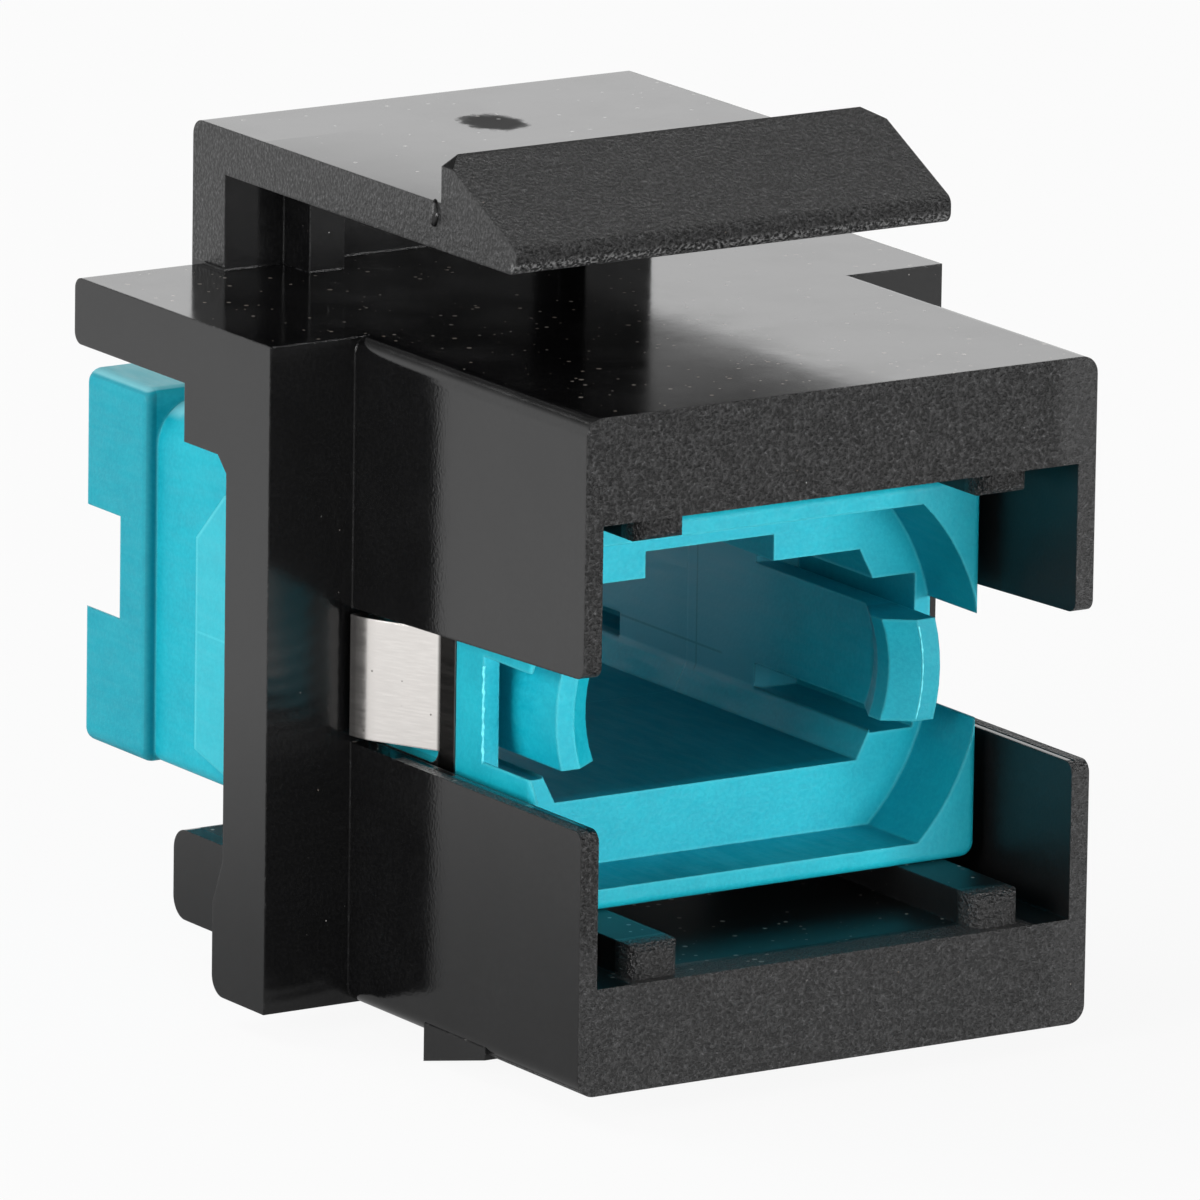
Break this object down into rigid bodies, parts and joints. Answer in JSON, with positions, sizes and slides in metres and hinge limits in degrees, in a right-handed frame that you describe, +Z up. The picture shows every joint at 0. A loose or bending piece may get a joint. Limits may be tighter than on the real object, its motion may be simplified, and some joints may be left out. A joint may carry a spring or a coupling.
{
  "type": "keystone fibre adapter module",
  "caption": "Snap-in keystone module: a black housing with a sprung latch and panel stops carries a two-part multi-fibre push-on (MPO) adapter held by a flared steel saddle.",
  "frame": {"origin": "on the plane of the panel stops' front faces, midway across the width and the height of the housing", "axes": "+Z up, +X across the width, +Y from the front port to the rear port, along the way a plug goes in"},
  "size_m": [0.0194, 0.0242, 0.0219],
  "materials": {
    "black_moulding": "glossy black with a spark-eroded grain on the front faces and the hook",
    "aqua_moulding": "satin aqua",
    "spring_steel": "rolled, faintly warm"
  },
  "bodies": {
    "root": {"keystone_housing": "black_moulding", "adapter_front_half": "aqua_moulding", "adapter_rear_half": "aqua_moulding", "spring_clip": "spring_steel"}
  },
  "joints": []
}
